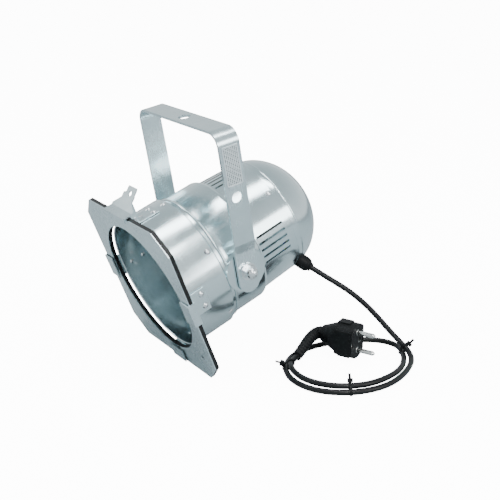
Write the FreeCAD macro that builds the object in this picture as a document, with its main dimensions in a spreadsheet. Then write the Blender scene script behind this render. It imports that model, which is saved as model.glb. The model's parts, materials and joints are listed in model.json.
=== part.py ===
import FreeCAD, Part
import math
import os

import Sketcher
from FreeCAD import Placement, Rotation, Vector

# A short par can: a spun aluminium lantern held in a strap yoke, with a filter frame in clips at its
# mouth, a reflector lamp in a ceramic holder, and a mains lead with a plug.
#
# Row frame: millimetres, +Z up, -Y the way the light shines, +X towards the labelled yoke leg.
# The origin is the centre of the hanging hole, on the top face of the yoke's cross bar.
# Can frame: X as above, Y along the can from the filter frame's front plane to the rear, Z up from
# the can's axis. Yoke frame: origin on the tilt axis, Z along the legs towards the hanging hole.

os.makedirs("parts", exist_ok=True)
doc = FreeCAD.newDocument("par_can")
sheet = doc.addObject("Spreadsheet::Sheet", "Dims")

DIMENSIONS = [
    # filter frame
    ("frame_side", 170.0), ("frame_chamfer", 20.0), ("frame_hole_radius", 70.0),
    ("frame_front_thick", 0.9), ("frame_back_thick", 3.9), ("frame_tag_radius", 1.8),
    ("frame_tag_x", 66.0), ("frame_tag_z", 58.0), ("frame_rivet_radius", 1.8),
    # can shells: stations are measured from the filter frame's front plane
    ("shell_gauge", 1.2), ("rim_station", 7.5), ("sleeve_radius", 70.7), ("sleeve_end", 50.7),
    ("hem_radius", 1.1), ("body_radius", 66.9), ("lip_radius", 69.5), ("lip_start", 43.0),
    ("lip_end", 49.5), ("neck_station", 53.0), ("bead_station", 57.7), ("bead_height", 1.3),
    ("shoulder_station", 91.3), ("vent_station", 97.5), ("vent_radius", 63.2),
    ("joint_station", 140.4), ("joint_radius", 61.3), ("tuck_length", 9.0),
    ("slot_start", 99.0), ("slot_length", 33.0), ("slot_width", 2.3), ("slot_pitch_deg", 6.5),
    ("cap_radius", 61.4), ("cap_length", 51.6), ("cap_bead_height", 0.4),
    # tilt axis and yoke
    ("pivot_station", 73.3), ("tilt_deg", 21.0), ("lean_deg", 10.0), ("yoke_height", 141.2),
    ("strap_width", 22.6), ("strap_gauge", 2.5), ("leg_inner_x", 73.1), ("pad_inner_x", 70.6),
    ("jog_low", 20.5), ("jog_high", 30.0), ("pad_drop", 22.0), ("bend_radius", 14.0),
    ("hang_hole_radius", 6.0), ("leg_hole_radius", 5.8), ("leg_hole_height", 76.8),
    ("label_low", 88.8), ("label_high", 127.0), ("label_width", 17.0), ("label_gauge", 0.3),
    ("seat_radius", 21.5), ("seat_face_x", 69.5), ("bolt_radius", 4.0), ("bolt_end_x", 79.5),
    ("running_gap", 0.05), ("bolt_head_radius", 7.0), ("bolt_head_x", 60.3),
    ("bolt_head_thick", 5.0),
    ("friction_radius", 11.0), ("washer_radius", 8.6), ("washer_gauge", 1.5),
    ("nut_radius", 7.2), ("nut_hex_thick", 5.0), ("nut_dome_radius", 6.0),
    # filter frame clips and latch
    ("clip_width", 24.0), ("clip_gauge", 1.2), ("clip_gap", 1.0), ("clip_lip", 15.0),
    ("clip_tail", 18.0), ("latch_gauge", 1.2), ("latch_top", 86.6), ("latch_lip_gap", 1.4),
    ("latch_right", 19.0), ("latch_left", 24.0), ("latch_neck_right", 9.5),
    ("latch_neck_left", 12.5), ("latch_tab_half", 8.4), ("latch_hole_radius", 2.6),
    ("latch_hinge_station", 11.3), ("latch_hinge_height", 78.0), ("latch_pin_radius", 1.5),
    ("bracket_half_width", 9.0),
    ("bracket_end", 37.0), ("rivet_radius", 1.6), ("rivet_head_radius", 3.0),
    ("rivet_head_height", 1.1),
    # lamp and holder
    ("lamp_front_station", 71.0), ("lamp_radius", 47.5), ("lamp_length", 64.0),
    ("lamp_neck_radius", 15.5), ("lamp_cap_radius", 13.0), ("lamp_cap_length", 25.0),
    ("holder_radius", 20.0), ("holder_length", 34.0), ("holder_shell_gauge", 0.6),
    ("carrier_gauge", 1.5), ("carrier_width", 20.0), ("carrier_half_span", 40.0),
    ("carrier_foot_x", 59.6), ("carrier_foot_start", 132.5), ("carrier_foot_end", 148.0),
    # mains lead
    ("gland_angle_deg", -46.0), ("gland_tilt_deg", 20.0), ("gland_station", 146.5),
    ("gland_surface_radius", 60.97), ("gland_radius", 7.5),
    ("cord_diameter", 5.8), ("wire_radius", 1.1),
    ("plug_head_radius", 18.2), ("plug_length", 39.0), ("pin_radius", 2.4), ("pin_length", 19.0),
    ("pin_foot_radius", 2.9), ("pin_spacing", 19.0),
    ("loop_height", 7.0), ("loop_outer_x", 55.0), ("loop_outer_y", 71.0),
    ("loop_inner_x", 42.0), ("loop_inner_y", 52.0),
]
for row, (alias, number) in enumerate(DIMENSIONS, start=1):
    sheet.set("A%d" % row, alias)
    sheet.set("B%d" % row, str(number))
    sheet.setAlias("B%d" % row, alias)
doc.recompute()


def dim(alias):
    """A driving dimension, as a number."""
    return float(sheet.get(alias))


def polar(radius, degrees):
    """A point of the can's cross-section, as X and Z, at an angle up from +X."""
    return radius * math.cos(math.radians(degrees)), radius * math.sin(math.radians(degrees))


# ---------------------------------------------------------------- frames of reference
X_AXIS, Y_AXIS, Z_AXIS = Vector(1, 0, 0), Vector(0, 1, 0), Vector(0, 0, 1)
YOKE_TURN = Rotation(X_AXIS, dim("lean_deg"))
CAN_TURN = Rotation(X_AXIS, dim("tilt_deg"))
PIVOT = YOKE_TURN.multVec(Vector(0, 0, -dim("yoke_height")))
YOKE = Placement(PIVOT, YOKE_TURN)
CAN = Placement(PIVOT - CAN_TURN.multVec(Vector(0, dim("pivot_station"), 0)), CAN_TURN)
ALONG_Y = Rotation(X_AXIS, -90)
ALONG_X = Rotation(Y_AXIS, 90)

nodes = []


# ---------------------------------------------------------------- helpers
def node(piece, label, frame=None):
    """Name a finished sub-part and put it in its frame."""
    piece.Label = label
    if frame is not None:
        piece.Placement = frame.multiply(piece.Placement)
    nodes.append(piece)
    return piece


def solid(kind, name, place, **sizes):
    """A Part primitive whose sizes are bound to the sheet."""
    item = doc.addObject("Part::" + kind, name)
    for prop, formula in sizes.items():
        if isinstance(formula, str):
            item.setExpression(prop, formula)
        else:
            setattr(item, prop, formula)
    item.Placement = place
    return item


def rod(name, start, turn, radius, height):
    """A cylinder from a start point; height and radius are sheet formulas or numbers."""
    return solid("Cylinder", name, Placement(start, turn), Radius=radius, Height=height)


def block(name, corner, length, width, height):
    return solid("Box", name, Placement(corner, Rotation()), Length=length, Width=width, Height=height)


def fuse(name, pieces):
    item = doc.addObject("Part::MultiFuse", name)
    item.Shapes = pieces
    return item


def cut(name, base, *tools):
    item = doc.addObject("Part::Cut", name)
    item.Base = base
    item.Tool = tools[0] if len(tools) == 1 else fuse(name + "_tools", list(tools))
    return item


def common(name, *pieces):
    item = doc.addObject("Part::MultiCommon", name)
    item.Shapes = list(pieces)
    return item


def group(name, pieces):
    """Separate solids of identical pieces, kept as one node."""
    item = doc.addObject("Part::Compound", name)
    item.Links = pieces
    return item


def plane_of(body, role):
    return next(f for f in body.Origin.OriginFeatures if f.Role == role)


def drawn(name, role, outline, holes=()):
    """A body with one closed sketch. Each corner is a pair of sheet formulas; a corner with a third
    item, a pair of formulas, is reached by an arc through that point. holes: (x, y, radius)."""
    body = doc.addObject("PartDesign::Body", name)
    sketch = body.newObject("Sketcher::SketchObject", name + "_sketch")
    sketch.AttachmentSupport = (plane_of(body, role), "")
    sketch.MapMode = "FlatFace"

    def at(pair):
        return Vector(*[float(sketch.evalExpression(formula)) for formula in pair])

    points = [at(corner[:2]) for corner in outline]
    for i, corner in enumerate(outline):
        start, end = points[i - 1], points[i]
        if len(corner) > 2:
            sketch.addGeometry(Part.Arc(start, at(corner[2]), end), False)
        else:
            sketch.addGeometry(Part.LineSegment(start, end), False)
    count = len(outline)
    arcs = [len(corner) > 2 for corner in outline]

    def ends(i):
        """Sketch vertices of an edge's start and end; arcs are always stored anticlockwise."""
        if not arcs[i]:
            return 1, 2
        through = at(outline[i][2])
        turn = (through - points[i - 1]).cross(points[i] - through)
        return (1, 2) if turn.z > 0 else (2, 1)

    for i in range(count):
        after = (i + 1) % count
        sketch.addConstraint(Sketcher.Constraint("Coincident", i, ends(i)[1], after, ends(after)[0]))
    for i, corner in enumerate(outline):
        for kind, formula, value in (("DistanceX", corner[0], points[i].x),
                                     ("DistanceY", corner[1], points[i].y)):
            index = sketch.addConstraint(
                Sketcher.Constraint(kind, -1, 1, i, ends(i)[1], value))
            sketch.setExpression("Constraints[%d]" % index, formula)
    for x, y, radius in holes:
        centre = at((x, y))
        circle = sketch.addGeometry(
            Part.Circle(centre, Z_AXIS, at((radius, "0")).x), False)
        for kind, formula, value in (("DistanceX", x, centre.x), ("DistanceY", y, centre.y)):
            index = sketch.addConstraint(Sketcher.Constraint(kind, -1, 1, circle, 3, value))
            sketch.setExpression("Constraints[%d]" % index, formula)
        index = sketch.addConstraint(Sketcher.Constraint("Radius", circle, at((radius, "0")).x))
        sketch.setExpression("Constraints[%d]" % index, radius)
    return body, sketch


def plate(name, role, outline, thickness, holes=(), middle=False, back=False):
    """A padded sketch: a flat plate or a strip."""
    body, sketch = drawn(name, role, outline, holes)
    pad = body.newObject("PartDesign::Pad", name + "_pad")
    pad.Profile = sketch
    pad.setExpression("Length", thickness)
    pad.Midplane = middle
    pad.Reversed = back
    body.Tip = pad
    return body


def spun(name, outline):
    """A shell of revolution about the can's axis: corners are (station, radius)."""
    body, sketch = drawn(name, "YZ_Plane", outline)
    turned = body.newObject("PartDesign::Revolution", name + "_spin")
    turned.Profile = sketch
    turned.ReferenceAxis = (sketch, ["H_Axis"])
    turned.Angle = 360.0
    body.Tip = turned
    return body


def rivet(name, foot, turn, grip):
    """A shank with a low domed head on its outer end; local Z points outwards from the foot."""
    shank = rod(name + "_shank", foot, turn, "Dims.rivet_radius", grip)
    out = turn.multVec(Z_AXIS)
    head_at = foot + out * grip
    head = solid("Cone", name + "_head", Placement(head_at, turn), Radius1="Dims.rivet_head_radius",
                 Radius2="Dims.rivet_radius", Height="Dims.rivet_head_height")
    return fuse(name, [shank, head])


def across(degrees):
    """Local Z radially outwards from the can's axis, at an angle up from +X."""
    return Rotation(Y_AXIS, 90 - degrees)


# ---------------------------------------------------------------- fasteners of the can
# each clip's side of the frame, and its distance from the middle of that side
CLIPS = (("near", 0, 0), ("bottom", -90, 8), ("far", 180, 0))
HOLDER_START = dim("lamp_front_station") + dim("lamp_length") + 0.6
HOLDER_SEAT = HOLDER_START + dim("holder_length")


def sided(side):
    """Turn that points local Z outwards along X on one side of the can."""
    return ALONG_X if side > 0 else Rotation(Y_AXIS, -90)


def make_sleeve_rivets():
    """Six rivets join the sleeve to the lip of the housing."""
    foot_radius = dim("lip_radius") - dim("shell_gauge")
    station = (dim("lip_start") + dim("lip_end")) / 2
    pieces = []
    for i in range(6):
        angle = 30 + 60 * i
        x, z = polar(foot_radius, angle)
        pieces.append(rivet("sleeve_rivet_%d" % i, Vector(x, station, z), across(angle),
                            dim("sleeve_radius") - foot_radius))
    return pieces


def make_cap_screws():
    depth = 3.2
    station = dim("joint_station") - dim("tuck_length") / 2
    pieces = []
    for i, angle in enumerate((45, 165, 285)):
        x, z = polar(dim("joint_radius") - depth, angle)
        pieces.append(rivet("cap_screw_%d" % i, Vector(x, station, z), across(angle), depth + 0.3))
    return pieces


def make_clip_rivets():
    """A pair for each clip, through the clip's leg and the sleeve."""
    station = dim("rim_station") + dim("clip_tail") - 5
    inside = dim("sleeve_radius") - dim("shell_gauge")
    pieces = []
    for word, angle, shift in CLIPS:
        turn = Rotation(Y_AXIS, -angle)
        for i, offset in enumerate((shift - 6.5, shift + 6.5)):
            depth = math.sqrt(inside ** 2 - offset ** 2) - 0.9
            foot = turn.multVec(Vector(depth, station, offset))
            pieces.append(rivet("clip_rivet_%s_%d" % (word, i), foot, turn.multiply(ALONG_X),
                                dim("sleeve_radius") + dim("clip_gauge") - depth))
    return pieces


def make_latch_rivets():
    grip = 1.9 + dim("latch_gauge")
    return [rivet("bracket_rivet_%d" % i, Vector(x, 32.3, dim("sleeve_radius") - 1.9), Rotation(),
                  grip) for i, x in enumerate((-5.5, 5.5))]


def make_holder_screws():
    return [rod("holder_screw_%d" % i, Vector(x, HOLDER_SEAT - 5, 0), ALONG_Y, 1.7,
                5 + dim("carrier_gauge") + 2.0) for i, x in enumerate((-11, 11))]


def make_carrier_rivets():
    station = dim("joint_station") - dim("tuck_length") / 2
    outer = dim("joint_radius") - dim("shell_gauge") - 0.05
    return [rod("carrier_rivet_%d" % i, Vector(side * 56, station, 0), sided(side), 1.5, outer - 56)
            for i, side in enumerate((-1, 1))]


def make_earth_screw():
    return rod("earth_screw_body", Vector(24, HOLDER_SEAT - 1.5, 0), ALONG_Y, 2.0,
               1.5 + dim("carrier_gauge") + 3.5)


SLEEVE_RIVETS = make_sleeve_rivets()
CAP_SCREWS = make_cap_screws()
CLIP_RIVETS = make_clip_rivets()
LATCH_RIVETS = make_latch_rivets()
HOLDER_SCREWS = make_holder_screws()
CARRIER_RIVETS = make_carrier_rivets()
EARTH_SCREW = make_earth_screw()


def build_fasteners():
    node(group("sleeve_rivet_set", SLEEVE_RIVETS), "sleeve_rivets", CAN)
    node(group("cap_screw_set", CAP_SCREWS), "cap_screws", CAN)
    node(group("clip_rivet_set", CLIP_RIVETS), "clip_rivets", CAN)
    node(group("latch_rivet_set", LATCH_RIVETS), "latch_rivets", CAN)
    node(group("holder_screw_set", HOLDER_SCREWS), "holder_screws", CAN)
    node(group("carrier_rivet_set", CARRIER_RIVETS), "carrier_rivets", CAN)
    node(group("earth_screw_set", [EARTH_SCREW]), "earth_screw", CAN)


# ---------------------------------------------------------------- filter frame
HALF = "Dims.frame_side / 2"
NOTCH = "(Dims.frame_side / 2 - Dims.frame_chamfer)"
OCTAGON = [
    (NOTCH, "-" + HALF), (HALF, "-" + NOTCH), (HALF, NOTCH), (NOTCH, HALF),
    ("-" + NOTCH, HALF), ("-" + HALF, NOTCH), ("-" + HALF, "-" + NOTCH), ("-" + NOTCH, "-" + HALF),
]


def filter_sheet(name, thickness, start):
    holes = [("0", "0", "Dims.frame_hole_radius"),
             ("Dims.frame_tag_x", "-Dims.frame_tag_z", "Dims.frame_tag_radius")]
    corners = [(sx, sz) for sx in ("", "-") for sz in ("", "-")]
    for sx, sz in corners:
        if (sx, sz) != ("", "-"):
            holes.append((sx + "Dims.frame_tag_x", sz + "Dims.frame_tag_z", "Dims.frame_rivet_radius"))
    body = plate(name, "XZ_Plane", OCTAGON, thickness, holes, back=True)
    body.Placement = Placement(Vector(0, start, 0), Rotation())
    return body


def build_filter_frame():
    front = dim("frame_front_thick")
    node(filter_sheet("front_sheet", "Dims.frame_front_thick", 0.0), "filter_frame_front", CAN)
    node(filter_sheet("back_sheet", "Dims.frame_back_thick", front), "filter_frame_back", CAN)
    rivets = []
    for i, (sx, sz) in enumerate(((1, 1), (-1, 1), (-1, -1))):
        foot = Vector(sx * dim("frame_tag_x"), 0, sz * dim("frame_tag_z"))
        rivets.append(rod("frame_rivet_%d" % i, foot, ALONG_Y, "Dims.frame_rivet_radius",
                          "Dims.frame_front_thick + Dims.frame_back_thick"))
    node(group("frame_rivets", rivets), "filter_frame_rivets", CAN)


# ---------------------------------------------------------------- can shells
def build_front_sleeve():
    wall = spun("sleeve_wall", [
        ("Dims.rim_station", "Dims.sleeve_radius - Dims.shell_gauge"),
        ("Dims.sleeve_end", "Dims.sleeve_radius - Dims.shell_gauge"),
        ("Dims.sleeve_end", "Dims.sleeve_radius"),
        ("Dims.rim_station", "Dims.sleeve_radius"),
    ])
    hem_at = Vector(0, dim("rim_station"), 0)
    hem = solid("Torus", "sleeve_hem", Placement(hem_at, ALONG_Y),
                Radius1="Dims.sleeve_radius - Dims.hem_radius", Radius2="Dims.hem_radius")
    sleeve = fuse("sleeve_body", [wall, hem])
    node(cut("sleeve", sleeve, *(SLEEVE_RIVETS + CLIP_RIVETS + LATCH_RIVETS)), "front_sleeve", CAN)


def vent_slots():
    """Two rows of five slots, at the near side and on top, and their twins opposite."""
    slots = []
    for row, middle in enumerate((3.5, 92, 176.5, 272)):
        for step in range(-2, 3):
            angle = middle + step * dim("slot_pitch_deg")
            turn = Rotation(Y_AXIS, -angle)
            corner = turn.multVec(Vector(dim("vent_radius") - 8, 0, -dim("slot_width") / 2))
            slots.append(solid("Box", "slot_%d_%d" % (row, step + 2),
                               Placement(corner + Vector(0, dim("slot_start"), 0), turn),
                               Length="16", Width="Dims.slot_length", Height="Dims.slot_width"))
    return slots


def build_rear_housing():
    gauge = "Dims.shell_gauge"
    body = "Dims.body_radius"
    bead = "(Dims.body_radius + Dims.bead_height)"
    shell = spun("housing_shell", [
        ("Dims.lip_start", "Dims.lip_radius - " + gauge),
        ("Dims.lip_start", "Dims.lip_radius"),
        ("Dims.lip_end", "Dims.lip_radius"),
        ("Dims.neck_station", body),
        ("Dims.bead_station - 1.6", body),
        ("Dims.bead_station + 1.6", body, ("Dims.bead_station", bead)),
        ("Dims.shoulder_station", body),
        ("Dims.vent_station", "Dims.vent_radius",
         ("Dims.shoulder_station + 4.6", "Dims.vent_radius + 2.3")),
        ("Dims.joint_station", "Dims.joint_radius"),
        ("Dims.joint_station", "Dims.joint_radius - " + gauge),
        ("Dims.vent_station - 1", "Dims.vent_radius - " + gauge),
        ("Dims.shoulder_station - 1", body + " - " + gauge),
        ("Dims.neck_station - 1", body + " - " + gauge),
        ("Dims.lip_end - 1", "Dims.lip_radius - " + gauge),
    ])
    holes = [rod("bolt_way_%d" % i, Vector(side * 50, dim("pivot_station"), 0), sided(side),
                 "Dims.bolt_radius", 25) for i, side in enumerate((1, -1))]
    tools = vent_slots() + holes + SLEEVE_RIVETS + CAP_SCREWS
    node(cut("housing", shell, *tools), "rear_housing", CAN)
    return shell


def gland_frame():
    """Foot of the cable gland on the cap, local Z along the gland."""
    angle = dim("gland_angle_deg")
    x, z = polar(dim("gland_surface_radius"), angle)
    turn = across(angle).multiply(Rotation(X_AXIS, -dim("gland_tilt_deg")))
    return Placement(Vector(x, dim("gland_station"), z), turn)


def dome_at(degrees, inset="0", lift="0"):
    """A corner on the cap's elliptic profile, measured from the joint (0) to the tip (90)."""
    turn = math.radians(degrees)
    return ("Dims.joint_station + (Dims.cap_length - %s) * %.6f" % (inset, math.sin(turn)),
            "(Dims.cap_radius - %s) * %.6f + %s" % (inset, math.cos(turn), lift))


def dome_tip(degrees, inset="0"):
    """The cap's small flat tip, on the axis."""
    return dome_at(degrees, inset)[0], "0"


def dome_arc(start, end, inset="0", lift="0"):
    """An arc of the cap's profile, as its end corner with the point it passes through."""
    return dome_at(end, inset) + (dome_at((start + end) / 2, inset, lift),)


def dome_outline():
    """The cap's outside from its edge to its tip, with a low bead near the edge."""
    return [dome_at(0), dome_arc(0, 6), dome_arc(6, 9, lift="Dims.cap_bead_height"),
            dome_arc(9, 30), dome_arc(30, 60), dome_arc(60, 86), dome_tip(86)]


def build_rear_cap():
    """A spun dome with a low bead near its edge, tucked inside the housing's end."""
    gauge = "Dims.shell_gauge"
    tuck = "(Dims.joint_radius - Dims.shell_gauge - Dims.running_gap)"
    inner = [dome_tip(86, gauge), dome_at(86, gauge), dome_arc(86, 60, gauge),
             dome_arc(60, 30, gauge), dome_arc(30, 6, gauge)]
    root = [("Dims.joint_station + 2", tuck + " - 1"),
            ("Dims.joint_station - Dims.tuck_length", tuck + " - 1"),
            ("Dims.joint_station - Dims.tuck_length", tuck),
            ("Dims.joint_station", tuck)]
    shell = spun("cap_shell", dome_outline() + inner + root)
    foot = gland_frame()
    way = rod("gland_way", foot.multVec(Vector(0, 0, -12)), foot.Rotation,
              "Dims.gland_radius - 2.05", 24)
    node(cut("cap", shell, way, *(CAP_SCREWS + CARRIER_RIVETS)), "rear_cap", CAN)


# ---------------------------------------------------------------- tilt pivots
def build_pivots(housing):
    station = dim("pivot_station")
    for side, word in ((1, "near"), (-1, "far")):
        turn = sided(side)

        def out(x):
            return Vector(side * x, station, 0)

        drum = rod("seat_drum_" + word, out(60), turn, "Dims.seat_radius", "Dims.seat_face_x - 60")
        bore = rod("seat_bore_" + word, out(55), turn, "Dims.bolt_radius", 20)
        core = rod("seat_core_" + word, Vector(0, station - 40, 0), ALONG_Y, "Dims.body_radius", 80)
        node(cut("seat_" + word, drum, bore, core, housing), "pivot_seat_" + word, CAN)

        shank = rod("bolt_shank_" + word, out(61), turn, "Dims.bolt_radius", "Dims.bolt_end_x - 61")
        head = rod("bolt_head_" + word, out(dim("bolt_head_x")), turn, "Dims.bolt_head_radius",
                   "Dims.bolt_head_thick")
        node(fuse("bolt_" + word, [shank, head]), "pivot_bolt_" + word, CAN)

        disc = rod("friction_disc_" + word, out(dim("seat_face_x")), turn, "Dims.friction_radius",
                   "Dims.pad_inner_x - Dims.seat_face_x - 0.1")
        eye = rod("friction_eye_" + word, out(60), turn, "Dims.bolt_radius", 20)
        node(cut("friction_" + word, disc, eye), "friction_washer_" + word, CAN)

        face = dim("pad_inner_x") + dim("strap_gauge")
        disc = solid("Cylinder", "washer_disc_" + word, Placement(Vector(side * face, 0, 0), turn),
                     Radius="Dims.washer_radius", Height="Dims.washer_gauge")
        eye = solid("Cylinder", "washer_eye_" + word, Placement(Vector(side * 60, 0, 0), turn),
                    Radius="Dims.bolt_radius + Dims.running_gap", Height=30.0)
        node(cut("washer_" + word, disc, eye), "outer_washer_" + word, YOKE)

        face += dim("washer_gauge") + 0.1
        hexagon = solid("Prism", "nut_hex_" + word, Placement(Vector(side * face, 0, 0), turn),
                        Polygon=6, Circumradius="Dims.nut_radius", Height="Dims.nut_hex_thick")
        dome = solid("Sphere", "nut_dome_" + word,
                     Placement(Vector(side * (face + dim("nut_hex_thick") - 0.8), 0, 0), turn),
                     Radius="Dims.nut_dome_radius", Angle1=0.0, Angle2=90.0, Angle3=360.0)
        thread = solid("Cylinder", "nut_thread_" + word, Placement(Vector(side * 60, 0, 0), turn),
                       Radius="Dims.bolt_radius + Dims.running_gap",
                       Height="Dims.bolt_end_x - 60 + 0.4")
        node(cut("nut_" + word, fuse("nut_body_" + word, [hexagon, dome]), thread),
             "lock_nut_" + word, YOKE)


# ---------------------------------------------------------------- yoke
def leg_outline():
    """Half of the strap's side view, from the pad's foot to the middle of the cross bar."""
    gauge = "Dims.strap_gauge"
    pad, leg = "Dims.pad_inner_x", "Dims.leg_inner_x"
    top = "Dims.yoke_height"
    bend = "Dims.bend_radius"
    corner = 1 - math.sqrt(0.5)
    return [
        ("0", top + " - " + gauge),
        ("0", top),
        ("%s + %s - %s" % (leg, gauge, bend), top),
        ("%s + %s" % (leg, gauge), "%s - %s" % (top, bend),
         ("%s + %s - %s * %.6f" % (leg, gauge, bend, corner), "%s - %s * %.6f" % (top, bend, corner))),
        ("%s + %s" % (leg, gauge), "Dims.jog_high"),
        ("%s + %s" % (pad, gauge), "Dims.jog_low"),
        ("%s + %s" % (pad, gauge), "-Dims.pad_drop"),
        (pad, "-Dims.pad_drop"),
        (pad, "Dims.jog_low + 0.6"),
        (leg, "Dims.jog_high + 0.6"),
        (leg, "%s - %s" % (top, bend)),
        ("%s - %s + %s" % (leg, bend, gauge), "%s - %s" % (top, gauge),
         ("%s - (%s - %s) * %.6f" % (leg, bend, gauge, corner),
          "%s - %s - (%s - %s) * %.6f" % (top, gauge, bend, gauge, corner))),
    ]


def build_yoke():
    half = plate("strap_half", "XZ_Plane", leg_outline(), "Dims.strap_width", middle=True)
    other = doc.addObject("Part::Mirroring", "strap_other_half")
    other.Source = half
    other.Normal = X_AXIS
    strap = fuse("strap", [half, other])
    strap.Refine = True
    tools = []
    for side, word in ((1, "near"), (-1, "far")):
        turn = sided(side)
        tools.append(solid("Cylinder", "strap_eye_" + word, Placement(Vector(side * 60, 0, 0), turn),
                           Radius="Dims.bolt_radius + Dims.running_gap", Height=30.0))
        square = block("strap_foot_%s" % word, Vector(side * 72 - 6, -20, -30), 12, 40, 19)
        square.setExpression("Height", "30 - Dims.pad_drop + Dims.strap_width / 2")
        keep = solid("Cylinder", "strap_toe_" + word,
                     Placement(Vector(side * 66, 0, dim("strap_width") / 2 - dim("pad_drop")), turn),
                     Radius="Dims.strap_width / 2", Height=12.0)
        if side < 0:
            square.Placement.Base = Vector(-78, -20, -30)
        tools.append(cut("strap_round_" + word, square, keep))
    tools.append(rod("strap_hang_hole", Vector(0, 0, dim("yoke_height") - 10), Rotation(),
                     "Dims.hang_hole_radius", 20))
    tools.append(rod("strap_leg_hole", Vector(60, 0, dim("leg_hole_height")), ALONG_X,
                     "Dims.leg_hole_radius", 30))
    node(cut("yoke", strap, *tools), "yoke", YOKE)
    face = dim("leg_inner_x") + dim("strap_gauge")
    label = block("label", Vector(face, -dim("label_width") / 2, dim("label_low")),
                  "Dims.label_gauge", "Dims.label_width", "Dims.label_high - Dims.label_low")
    node(label, "rating_label", YOKE)


# ---------------------------------------------------------------- filter frame clips
def clip_body(name):
    """One clip in its own frame: X outwards from the can's axis, Y along the can, Z across."""
    gauge = "Dims.clip_gauge"
    face = "Dims.frame_side / 2"
    front = "-Dims.clip_gap"
    rear = "Dims.frame_front_thick + Dims.frame_back_thick"
    leg = "Dims.sleeve_radius"
    return plate(name, "XY_Plane", [
        ("%s - Dims.clip_lip" % face, front),
        (face, front),
        (face, rear),
        (leg, rear),
        (leg, "Dims.rim_station + Dims.clip_tail"),
        ("%s + %s" % (leg, gauge), "Dims.rim_station + Dims.clip_tail"),
        ("%s + %s" % (leg, gauge), "%s + %s" % (rear, gauge)),
        ("%s + %s" % (face, gauge), "%s + %s" % (rear, gauge)),
        ("%s + %s" % (face, gauge), "%s - %s" % (front, gauge)),
        ("%s - Dims.clip_lip" % face, "%s - %s" % (front, gauge)),
    ], "Dims.clip_width", middle=True)


def build_clips():
    for word, angle, shift in CLIPS:
        body = clip_body("clip_" + word)
        turn = Rotation(Y_AXIS, -angle)
        body.Placement = Placement(turn.multVec(Vector(0, 0, shift)), turn)
        node(cut("clip_drilled_" + word, body, *CLIP_RIVETS), "filter_clip_" + word, CAN)


# ---------------------------------------------------------------- top latch
def build_latch():
    hinge = Vector(0, dim("latch_hinge_station"), dim("latch_hinge_height"))
    half = dim("bracket_half_width")
    base_low = dim("sleeve_radius")
    gauge = dim("latch_gauge")
    strip = block("bracket_strip", Vector(-half, hinge.y - 3.5, base_low),
                  "2 * Dims.bracket_half_width", "Dims.bracket_end - Dims.latch_hinge_station + 3.5",
                  "Dims.latch_gauge")
    ears = []
    for i, x in enumerate((-half, half - gauge)):
        ears.append(block("bracket_ear_%d" % i, Vector(x, hinge.y - 3.5, base_low),
                          "Dims.latch_gauge", 7, hinge.z + 3 - base_low))
    pin_way = rod("bracket_pin_way", hinge - Vector(20, 0, 0), ALONG_X, "Dims.latch_pin_radius", 40)
    node(cut("bracket", fuse("bracket_body", [strip] + ears), pin_way, *LATCH_RIVETS), "latch_bracket",
         CAN)

    pin = rod("latch_pin_body", hinge - Vector(11.6, 0, 0), ALONG_X, "Dims.latch_pin_radius", 23.2)
    node(pin, "latch_pin", CAN)

    top = "Dims.latch_top"
    skin = "Dims.latch_gauge"
    lip = "-Dims.latch_lip_gap"
    side = plate("latch_side", "YZ_Plane", [
        (lip + " - " + skin, "83"),
        (lip, "83"),
        (lip, top),
        ("7.6", top),
        ("26.2", "%s + 15.2" % top),
        ("25.4", "%s + 16.2" % top),
        ("7.2", "%s + %s" % (top, skin)),
        (lip + " - " + skin, "%s + %s" % (top, skin)),
    ], "2 * Dims.latch_left", middle=True)
    plan = plate("latch_plan", "XY_Plane", [
        ("Dims.latch_right", "-5"), ("Dims.latch_right", "9"), ("Dims.latch_neck_right", "14.6"),
        ("Dims.latch_neck_right", "19.5"), ("Dims.latch_tab_half", "20.5"),
        ("Dims.latch_tab_half", "24"), ("Dims.latch_tab_half - 2.4", "28"),
        ("-Dims.latch_tab_half + 2.4", "28"), ("-Dims.latch_tab_half", "24"),
        ("-Dims.latch_tab_half", "20.5"), ("-Dims.latch_neck_left", "19.5"),
        ("-Dims.latch_neck_left", "15.5"), ("-Dims.latch_left", "9"), ("-Dims.latch_left", "-5"),
    ], "120")
    top_plate = common("latch_top_plate", side, plan)
    low = "Dims.latch_hinge_height"
    fore, aft = "Dims.latch_hinge_station - 3.6", "Dims.latch_hinge_station + 3.6"
    cheek = [(fore, low), (aft, low), (aft, top + " + 6.2"), (fore, top + " + 0.3")]
    ears = []
    for i, x in enumerate((-half - 0.4 - gauge, half + 0.4)):
        ear = plate("latch_cheek_%d" % i, "YZ_Plane", cheek, skin)
        ear.Placement = Placement(Vector(x, 0, 0), Rotation())
        boss = rod("latch_boss_%d" % i, Vector(x, hinge.y, hinge.z), ALONG_X, 3.6, skin)
        ears.extend((ear, boss))
    eye = rod("latch_eye", hinge - Vector(20, 0, 0), ALONG_X,
              "Dims.latch_pin_radius + Dims.running_gap", 40)
    lean = Rotation(X_AXIS, 39)
    hole = rod("latch_hole", Vector(0, 20.5, dim("latch_top") + 11) - lean.multVec(Vector(0, 0, 6)),
               lean, "Dims.latch_hole_radius", 12)
    node(cut("latch", fuse("latch_body", [top_plate] + ears), eye, hole), "top_latch", CAN)

    # the torsion spring: a close coil round the pin, with one leg down to the bracket's strip
    coil = rod("spring_coil", hinge - Vector(3.2, 0, 0), ALONG_X, "Dims.latch_pin_radius + 0.9", 6.4)
    leg = rod("spring_leg", Vector(2.4, hinge.y, hinge.z - 1.8), Rotation(X_AXIS, -107), 0.45, 11.6)
    eye = rod("spring_eye", hinge - Vector(20, 0, 0), ALONG_X, "Dims.latch_pin_radius", 40)
    node(cut("latch_spring_body", fuse("spring_parts", [coil, leg]), eye), "latch_spring", CAN)


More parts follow.
